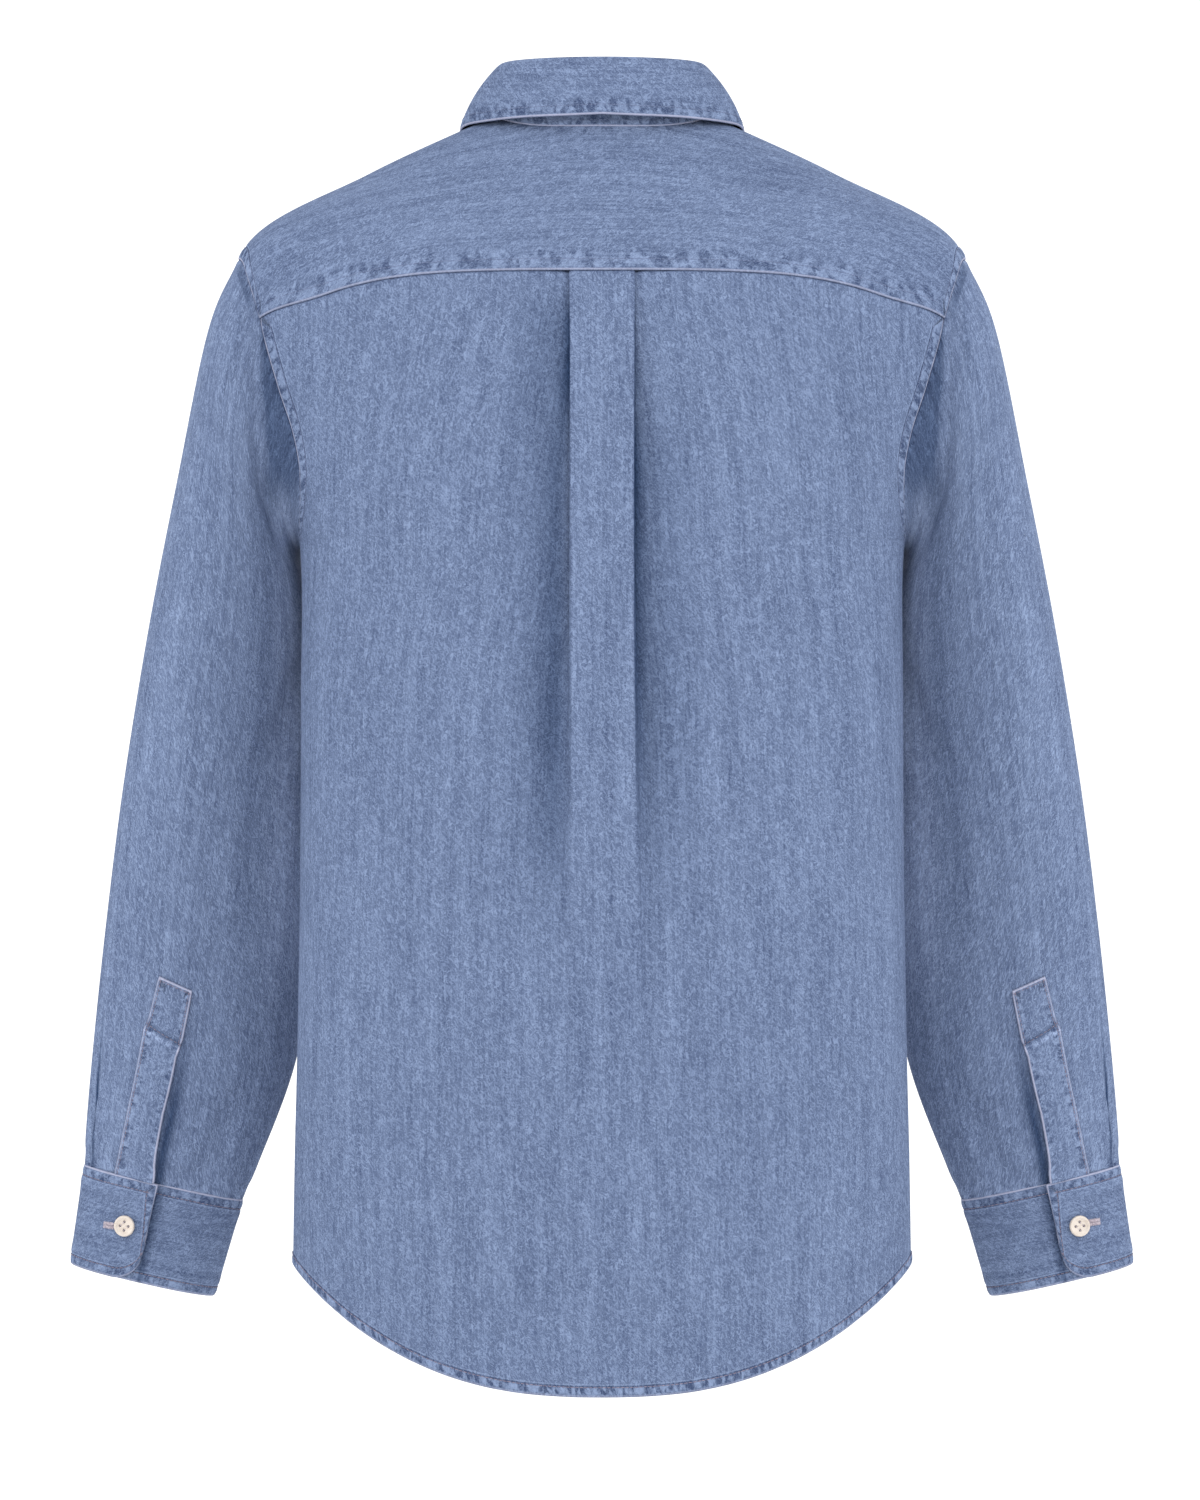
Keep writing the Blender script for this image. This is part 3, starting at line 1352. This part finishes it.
@dataclass
class Placket(SidedPiece):
    """The strip over the sleeve's opening: a stitched box above a free edge that stands proud."""

    left_edge: tuple = (
        [5.31, 66.4], [5.62, 63.4], [5.72, 61.0], [6.48, 58.2], [7.98, 55],
    )
    right_edge: tuple = (
        [5.41, 85.2], [5.80, 83.6], [5.95, 81.6], [6.52, 80.8], [7.98, 85],
    )
    box_end: tuple = (0.135, 0.168)
    free_end: int = 16
    lift: float = 1.35
    gape: float = 2.0
    flat: tuple = (0.024, 0.130)

    def grid(self) -> ClothGrid:
        """The strip as cloth, made for the wearer's left."""
        across = np.concatenate([[0, 0.02, 0.05], np.linspace(0.09, 0.91, 15), [0.95, 0.98, 1]])[None, :]
        left, right = np.array(self.left_edge), np.array(self.right_edge)
        t = np.linspace(0, 1, 96)[:, None]
        wl, wr = mix(left[0, 0], left[-1, 0], t), mix(right[0, 0], right[-1, 0], t)
        phi_l, phi_r = np.interp(wl, left[:, 0], left[:, 1]), np.interp(wr, right[:, 0], right[:, 1])
        phi, level = mix(phi_l, phi_r, across), mix(wl, wr, across)
        box = mix(*self.box_end, across)
        free = self.gape * smooth(box + 0.02, 0.85, t) * smooth(0.35, 1, across)
        fold = -0.45 * np.exp(-((t - box) / 0.008) ** 2)
        points = SLEEVE.point(phi, level, self.lift + free + fold)
        seams = [Seam(Border.TOP, 0.8, 1.0, reach=4), Seam(Border.START, 1.2, 0.45, reach=5.5),
                 Seam(Border.END, 0.8, 1.0, reach=4.5)]
        dark = fall(0, 0.012, np.abs(t - box))
        pale = fall(0, 0.011, np.abs(t - box - 0.018))
        tone = 0.1 - 0.6 * dark + 0.5 * pale
        return self.own(ClothGrid(points, half=0.75, seams=seams, pucker_height=0.3, seed=53, tone=tone))

    def row(self, grid: ClothGrid) -> Array:
        """The line of stitches along the box's lower end."""
        places = grid.surface(0.15)[:, 1:-1]
        at = np.linspace(*self.box_end, places.shape[1]) * (len(places) - 1)
        low, columns = at.astype(int), np.arange(places.shape[1])
        share = (at - low)[:, None]
        return places[low, columns] * (1 - share) + places[low + 1, columns] * share

    def make(self) -> None:
        """Builds, sews and dresses the strip."""
        grid = self.grid()
        self.stitch(grid, Border.START, 1.4, 1)
        self.stitch(grid, Border.TOP, 1.4, 1)
        self.stitch(grid, Border.END, 1.4, 1, last=self.free_end)
        self.sewing.add(self.row(grid), "contrast")
        self.dress_cloth(grid, "placket_" + self.side.word, "denim", self.flat)


@dataclass
class Cuff(SidedPiece):
    """A double cuff whose buttoned end laps over and has a rounded corner."""

    edge: float = 88
    overlap: float = 32
    corner: float = 15
    height: float = 59
    mm_per_degree: float = 0.72
    gape: float = 1.5
    half: float = 1.1
    flat: tuple = (0.262, 0.062)

    @property
    def turn(self) -> float:
        """Degrees from one end of the band to the other."""
        return 360 + self.overlap

    def lap(self, share: Array) -> Array:
        """The band's height over the middle of the wall, by the share of the way round."""
        turned = share * self.turn
        above = fall(self.overlap, self.overlap + 40, turned)
        below = smooth(self.turn - self.overlap - 40, self.turn - self.overlap, turned)
        return 1.3 * (above - below) + self.gape * fall(0, 14, turned)

    def point(self, share: Array, t: Array, lift: float = 0.0) -> Array:
        """The band's point at a share of the way round and t of the way down."""
        share, t = np.broadcast_arrays(share, t)
        inset = np.maximum(0, self.corner - share * self.turn * self.mm_per_degree)
        rise = self.corner - np.sqrt(self.corner ** 2 - inset ** 2)
        phi = self.edge - share * self.turn
        level = mix(SLEEVE.cuff_seam, SLEEVE.cuff_end - rise / self.height, t)
        return SLEEVE.point(phi, level, self.lap(share) + lift)

    def grid(self) -> ClothGrid:
        """The band as cloth, made for the wearer's left."""
        near = 0.06
        share = np.concatenate([graded(0, near, 22, 1.5)[:-1], np.linspace(near, 1, 170)])[None, :]
        ends = graded(0, 0.5, 17, 1.4)
        t = np.concatenate([ends, 1 - ends[-2::-1]])[:, None]
        base = self.point(share, t)
        drop = along_columns(base)
        gap = np.minimum(drop, drop[-1:] - drop)
        puff = 0.5 * np.exp(-((gap - 9) / 4) ** 2) - 0.35 * np.exp(-((gap - 5.6) / 1.1) ** 2)
        points = base - grid_outward(base, False) * puff[..., None] * 0.6
        seams = [Seam(Border.TOP, 1.1, 1.0, reach=5.8, band=1),
                 Seam(Border.BOTTOM, 1.0, 0.5, reach=5.2, band=1),
                 Seam(Border.START, 1.0, 0.9, reach=5.2, band=1)]
        turned = share * self.turn + 0 * t
        shade = -0.5 * smooth(352, 359.5, turned) * fall(359.8, 361, turned) * smooth(0, 0.1, t)
        half = self.half * (0.62 + 0.38 * smooth(0, 3, np.minimum(gap, along_rows(base))))
        return self.own(ClothGrid(points, half=half, tone=shade, seams=seams, grain=Grain.ACROSS,
                                  pucker_height=0.26, seed=61, facing=-1, lining=0.3))

    def make(self) -> None:
        """Builds, sews and dresses the cuff."""
        grid = self.grid()
        self.stitch(grid, Border.TOP, 5.7, 4)
        self.stitch(grid, Border.BOTTOM, 5.2, 4)
        self.stitch(grid, Border.START, 5.2, 5)
        self.dress_cloth(grid, "cuff_" + self.side.word, "denim_crosswise", self.flat)


@dataclass
class Collar(Piece):
    """The stand round the neckline and the leaf that folds over it."""

    stand_top: list = field(default_factory=lambda: [56, -1, 25.3, 41, 25.3, -57, -23, 2, 2, 4])
    stand_end: float = 16
    leaf_end: float = 5
    foot_gap: float = 1.65
    half: float = 1.1
    fold_rise: float = 4.2
    fold_width: float = 5.4
    edge_level: tuple = (
        [0, 0.12], [60, 0.13], [90, 0.22], [130, 0.47], [167, 1.05],
    )
    edge_lift: tuple = (
        [0, 8], [35, 6.4], [66, 2.5], [90, 2.3], [130, 2.8], [167, 3.2],
    )
    edge_arch: tuple = ([0, 5], [35, 4], [75, 0], [167, 0])
    edge_lag: tuple = ([0, 0], [110, 0], [167, -13])
    stand_flat: tuple = (0.42, 0.033)
    leaf_flat: tuple = (0.40, 0.068)

    @property
    def first(self) -> float:
        """The angle at which the stand's left end lies."""
        return float(BODY.angle_at(-self.stand_end, 0, False))

    def stand_point(self, angle: Array, t: Array) -> Array:
        """The stand's form from its foot, at 0, to its top."""
        angle, t = np.broadcast_arrays(np.asarray(angle, float), np.asarray(t, float))
        base = BODY.point(angle, 0)
        base[..., 2] += self.foot_gap
        top = BODY.ring(np.broadcast_to(np.array(self.stand_top, float), (*angle.shape, 10)), angle)
        return mix(base, top, t[..., None])

    def stand_outward(self, angle: Array) -> Array:
        """The stand's outward direction."""
        along = self.stand_point(np.asarray(angle) + 1, 0.5) - self.stand_point(np.asarray(angle) - 1, 0.5)
        up = self.stand_point(angle, 1) - self.stand_point(angle, 0)
        return unit(np.cross(along, up))

    def stand_lap(self, angle: Array) -> Array:
        """The stand's height over its form, where its ends lap."""
        last = 180 - self.first
        return 1.3 * (1 - smooth(28, 55, angle - self.first) - smooth(-55, -28, angle - last))

    def stand_grid(self) -> ClothGrid:
        """The stand as cloth, from its top down."""
        angle = np.linspace(self.first, 180 - self.first, 210)[None, :]
        t = np.linspace(1, -0.07, 22)[:, None]
        lap = self.stand_outward(angle + 0 * t) * self.stand_lap(angle)[..., None]
        points = self.stand_point(angle, t) + lap
        seams = [Seam(Border.BOTTOM, 1.0, 0.75), Seam(Border.START, 0.4, 0.5), Seam(Border.END, 0.4, 0.5)]
        return ClothGrid(points, half=self.half, seams=seams, grain=Grain.ACROSS, seed=71,
                         pucker_height=0.3, lining=0.3)

    def leaf_grid(self) -> ClothGrid:
        """The leaf as cloth, from the stand's top over the fold and down to its free edge."""
        first = float(BODY.angle_at(self.leaf_end, 0, False))
        angle = np.linspace(first, 180 - first, 221)
        turn, side = np.abs(angle - 90), np.sign(90 - angle)
        out = self.stand_outward(angle)
        top = self.stand_point(angle, 1) + out * self.stand_lap(angle)[..., None]
        up = unit(self.stand_point(angle, 1) - self.stand_point(angle, 0))
        at, level = 90 - side * (turn + eased(self.edge_lag, turn)), eased(self.edge_level, turn)
        edge = BODY.point(at, level) + BODY.outward(at, level) * eased(self.edge_lift, turn)[..., None]
        edge[..., 2] += eased(self.edge_arch, turn)
        shoulder = top + up * (self.fold_rise - 1.6) + out * self.fold_width
        full = 3.6 + 2.6 * np.exp(-((turn - 82) / 26) ** 2)
        bulge = (shoulder + edge) / 2 + out * full[:, None]
        sections = [top + up * 0.3, top + up * (self.fold_rise - 1.2) + out * 0.2,
                    top + up * self.fold_rise + out * self.fold_width * 0.45, shoulder]
        for t in (0.25, 0.5, 0.75, 1.0):
            sections.append(shoulder * (1 - t) ** 2 + bulge * 2 * t * (1 - t) + edge * t ** 2)
        k = np.concatenate([
            np.linspace(0, 3, 15)[:-1], np.linspace(3, 6.4, 16)[:-1], np.linspace(6.4, 7, 10),
        ])
        points = spline(np.array(sections), k)
        seams = [Seam(Border.BOTTOM, 1.1, 1.0, reach=9.5), Seam(Border.START, 0.9, 1.0, reach=6),
                 Seam(Border.END, 0.9, 1.0, reach=6)]
        drop = along_columns(points)
        half = self.half * (0.62 + 0.38 * smooth(0, 3, drop[-1:] - drop))
        return ClothGrid(points, half=half, seams=seams, grain=Grain.ACROSS, seed=83,
                         pucker_height=0.3, lining=0.3)

    def make(self) -> None:
        """Builds, sews and dresses both pieces."""
        stand, leaf = self.stand_grid(), self.leaf_grid()
        self.stitch(leaf, Border.BOTTOM, 5.2, 4, "tonal")
        self.stitch(stand, Border.BOTTOM, 3.4, 4, "tonal")
        for border in (Border.START, Border.END):
            self.stitch(leaf, border, 5.2, 4, "tonal", 18)
        self.dress_cloth(stand, "collar_stand", "denim_crosswise", self.stand_flat)
        self.dress_cloth(leaf, "collar_leaf", "denim_crosswise", self.leaf_flat)


@dataclass
class Buttons(Piece):
    """Four-holed buttons on the front, the stand and the cuffs, sewn on with crossed thread."""

    collar: Collar | None = None
    cuff: Cuff | None = None
    radius: float = 6.4
    height: float = 2.8
    hole: float = 0.76
    spacing: float = 1.8
    sides: int = 40
    face: float = 0.68
    front_lift: float = 1.8
    stand_lift: float = 1.4
    cuff_place: tuple = (17, 0.52)
    cuff_bar: tuple = (4, 13.5)
    front_bar: tuple = (-8.5, 8.5)
    bar_pitch: float = 0.42
    bar_width: float = 2
    front_levels: tuple = (0.62, 2.3, 4.1, 5.25, 6.15, 7.05, 7.95)

    def blank(self) -> bpy.types.Mesh:
        """A button that faces +Z, with its foot at the origin and its holes cut."""
        r, h = self.radius, self.height
        profile = [[r * 0.7, 0], [r * 0.93, h * 0.2], [r, h * 0.5], [r * 0.97, h * 0.84], [r * 0.9, h],
                   [r * 0.8, h * 0.97], [r * 0.7, h * 0.82], [r * 0.6, h * 0.7]]
        rings, n = len(profile), self.sides
        turns = [2 * math.pi * k / n for k in range(n)]
        verts = [(0, 0, 0)]
        for a, z in profile:
            verts += [(a * math.cos(turn) * MM, a * math.sin(turn) * MM, z * MM) for turn in turns]
        verts.append((0, 0, h * self.face * MM))
        faces, top = [], 1 + (rings - 1) * n
        for k in range(n):
            after = (k + 1) % n
            faces.append((0, 1 + after, 1 + k))
            for a in range(1, top, n):
                faces.append((a + k, a + after, a + n + after, a + n + k))
            faces.append((top + k, top + after, len(verts) - 1))
        mesh = bpy.data.meshes.new("button_blank")
        mesh.from_pydata(verts, [], faces)
        mesh.materials.append(self.cloths.resin)
        blank = linked("button_blank", mesh)
        cutters = []
        for x, y in ((1, 1), (1, -1), (-1, 1), (-1, -1)):
            bpy.ops.mesh.primitive_cylinder_add(vertices=12, radius=self.hole * MM, depth=8 * MM,
                                                location=(x * self.spacing * MM, y * self.spacing * MM, 0))
            cutters.append(bpy.context.object)
            cut = blank.modifiers.new("hole", "BOOLEAN")
            cut.operation = "DIFFERENCE"
            cut.solver = "EXACT"
            cut.object = cutters[-1]
        bpy.context.view_layer.update()
        made = bpy.data.meshes.new_from_object(blank.evaluated_get(bpy.context.evaluated_depsgraph_get()))
        for obj in [*cutters, blank]:
            bpy.data.objects.remove(obj)
        made.polygons.foreach_set("use_smooth", np.ones(len(made.polygons), bool))
        made.materials.clear()
        made.materials.append(self.cloths.resin)
        return made

    def place(self, mesh: bpy.types.Mesh, name: str, foot: Array, outward: Array, spin: float) -> None:
        """Sets a button on its foot and sews it on.

        Args:
            mesh: the button's mesh.
            name: the CAD node it replaces.
            foot: the middle of its underside.
            outward: the way it faces.
            spin: degrees that its holes are turned.
        """
        turn = Vector((0, 0, 1)).rotation_difference(Vector(outward)).to_matrix().to_4x4()
        whole = Matrix.Translation(Vector(foot) * MM) @ turn @ Matrix.Rotation(math.radians(spin), 4, "Z")
        made = mesh.copy()
        made.transform(whole)
        self.dress(linked(name + "_resin", made), name, "button")
        end, z = self.spacing - 0.3, self.height * self.face + 0.1
        for y in (self.spacing, -self.spacing):
            line = [whole @ Vector((x * MM, y * MM, z * MM)) for x in (-end, 0, end)]
            self.sewing.add(np.array(line) / MM, "pale")

    def buttonhole(self, foot: Array, along: Array, outward: Array, reach: tuple) -> None:
        """Sews a buttonhole's bar as close cross stitches.

        Args:
            foot: the middle of the button's underside.
            along: the way the bar runs.
            outward: the way the button faces.
            reach: where the bar starts and ends along it, in millimetres from the foot.
        """
        along = unit(along - outward * np.dot(along, outward))
        across = np.cross(outward, along)
        for k, s in enumerate(np.arange(*reach, self.bar_pitch)):
            centre = foot + along * s - outward * 0.15 + across * 0.12 * (-1) ** k
            self.sewing.add(np.array([centre, centre + across * self.bar_width]), "pale")

    def make(self) -> None:
        """Builds all buttons and their buttonholes."""
        mesh = self.blank()
        for k, level in enumerate(self.front_levels):
            outward = BODY.outward(-90.0, level)
            foot = BODY.point(-90.0, level) + outward * self.front_lift
            self.place(mesh, f"button_front_{k + 1}", foot, outward, 12 * k)
            down = BODY.point(-90.0, level + 0.1) - BODY.point(-90.0, level)
            self.buttonhole(foot, down, outward, self.front_bar)
        outward = self.collar.stand_outward(np.array(-90.0))
        lift = float(self.collar.stand_lap(np.array(-90.0))) + self.stand_lift
        foot = self.collar.stand_point(-90.0, 0.5) + outward * lift
        self.place(mesh, "button_stand", foot, outward, 20)
        self.buttonhole(foot, np.array([1.0, 0, 0]), outward, self.front_bar)
        share, t = np.array(self.cuff_place[0] / self.cuff.turn), np.array(self.cuff_place[1])
        around = self.cuff.point(share + 0.004, t) - self.cuff.point(share - 0.004, t)
        down = self.cuff.point(share, t + 0.02) - self.cuff.point(share, t - 0.02)
        outward = unit(np.cross(around, down))
        foot, around = self.cuff.point(share, t) + outward * self.stand_lift, unit(around)
        self.place(mesh, "button_cuff_left", foot, outward, 30)
        self.buttonhole(foot, around, outward, self.cuff_bar)
        self.buttonhole(foot * MIRROR, around * MIRROR, outward * MIRROR, self.cuff_bar)
        self.place(mesh, "button_cuff_right", foot * MIRROR, outward * MIRROR, -30)


@dataclass
class Studio:
    """The pale floor, the soft light and the camera at the photograph's angle."""

    camera: tuple = (1.2, 3600, -372)
    lens: float = 146.88
    floor_drop: float = 1250
    aim: float = -0.37
    world: float = 1.3
    key: float = 47.0
    fill: float = 26.0
    side: float = 32.0

    def make(self) -> None:
        """Sets up the whole studio."""
        scene = bpy.context.scene
        scene.view_settings.view_transform = "Standard"
        scene.view_settings.look = "None"
        world = bpy.data.worlds.new("studio")
        world.use_nodes = True
        backdrop = world.node_tree.nodes["Background"]
        backdrop.inputs["Color"].default_value = (1, 1, 1, 1)
        backdrop.inputs["Strength"].default_value = self.world
        scene.world = world
        data = bpy.data.cameras.new("camera")
        data.lens = self.lens
        data.sensor_width = 36
        data.sensor_fit = "AUTO"
        data.clip_end = 50
        scene.camera = linked("camera", data)
        scene.camera.location = [k * MM for k in self.camera]
        scene.camera.rotation_euler = (math.radians(90), 0, math.radians(180))
        self.light("key", (-0.2, 3.2, 1.9), 2.0, self.key)
        self.light("fill", (-0.8, -3.0, 1.4), 2.2, self.fill)
        for sign in (1, -1):
            self.light("side", (sign * 3.2, 1.3, 0.4), 2.0, self.side)
        bpy.ops.mesh.primitive_plane_add(size=6, location=(0, 0, 0))
        floor = bpy.context.object
        floor.name = "floor"
        for vertex in floor.data.vertices:
            vertex.co.z = -self.floor_drop * MM
        floor.data.materials.append(FloorFinish().material())

    def light(self, name: str, place: tuple, size: float, power: float) -> None:
        """Adds a soft square light that faces the shirt."""
        data = bpy.data.lights.new(name, "AREA")
        data.shape = "SQUARE"
        data.size = size
        data.energy = power
        obj = linked(name, data)
        obj.location = place
        aim = Vector((0, 0, self.aim)) - Vector(place)
        obj.rotation_euler = aim.to_track_quat("-Z", "Y").to_euler()


def main() -> None:
    """Builds the studio and every piece of the shirt, and reports each one."""
    logging.basicConfig(level=logging.INFO, format="%(name)s: %(message)s")
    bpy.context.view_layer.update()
    Studio().make()
    cloths = Wardrobe(
        denim=DenimFinish().material(),
        tonal=ThreadFinish("tonal_thread", (0.16, 0.20, 0.33), (0.09, 0.12, 0.22)).material(),
        contrast=ThreadFinish("contrast_thread", (0.25, 0.21, 0.27), (0.15, 0.12, 0.17)).material(),
        pale=ThreadFinish("buttonhole_thread", (0.50, 0.44, 0.49), (0.34, 0.29, 0.34)).material(),
        resin=ButtonFinish().material(),
    )
    sewing = Stitching()
    BackPanel(cloths, sewing).make()
    Yoke(cloths, sewing).make()
    for side in Side:
        Front(cloths, sewing, side).make()
        Sleeve(cloths, sewing, side).make()
        Placket(cloths, sewing, side).make()
    cuffs = [Cuff(cloths, sewing, side) for side in Side]
    for cuff in cuffs:
        cuff.make()
    collar = Collar(cloths, sewing)
    collar.make()
    Buttons(cloths, sewing, collar, cuffs[0]).make()
    for thread, name, material in (
        ("tonal", "seam_stitches", cloths.tonal),
        ("contrast", "edge_stitches", cloths.contrast),
        ("pale", "buttonhole_stitches", cloths.pale),
    ):
        rows = sewing.sew(thread, name, material)
        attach(rows, "root")
        LOG.info("%s: %d faces", name, len(rows.data.polygons))


if __name__ == "__main__":
    main()
